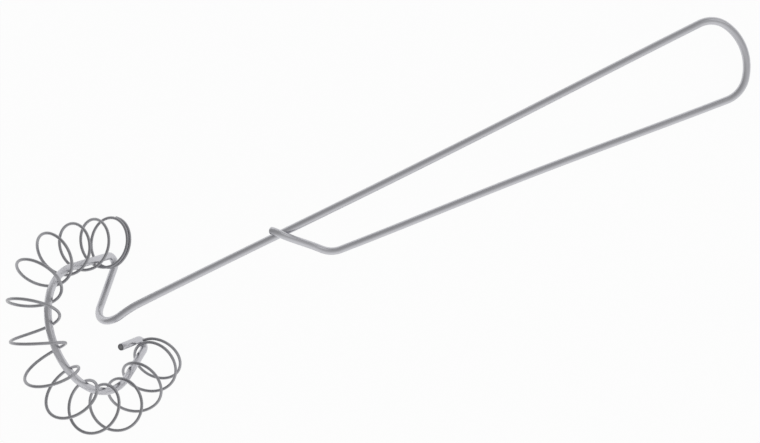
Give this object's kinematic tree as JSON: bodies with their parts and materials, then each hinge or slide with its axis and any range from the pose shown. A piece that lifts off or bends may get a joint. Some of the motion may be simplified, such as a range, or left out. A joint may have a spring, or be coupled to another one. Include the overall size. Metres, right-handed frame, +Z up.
{
  "type": "spiral whisk",
  "caption": "Wire spiral whisk: bent steel wire makes a long looped handle, a slanted spoke and an open ring, and a loose spring is threaded round the ring to beat and froth.",
  "frame": {"origin": "centre of the bottom of the box round the whisk as it lies on a table", "axes": "+X along the handle, from the head to the loop's end; +Z up, off the table"},
  "size_m": [0.3028, 0.084, 0.0682],
  "materials": {
    "frame_steel": "satin drawn stainless steel wire",
    "spring_steel": "smooth drawn spring wire"
  },
  "bodies": {
    "frame": {"frame_wire": "frame_steel"},
    "coil": {"whisk_coil": "spring_steel"}
  },
  "joints": [
    {"name": "coil_round_ring", "type": "hinge", "parent": "frame", "child": "coil", "pos_m": [-0.12742, 0.00007, 0.02843], "axis": [0.9258, -0.1136, 0.3605], "range_deg": [-2, 1]}
  ]
}
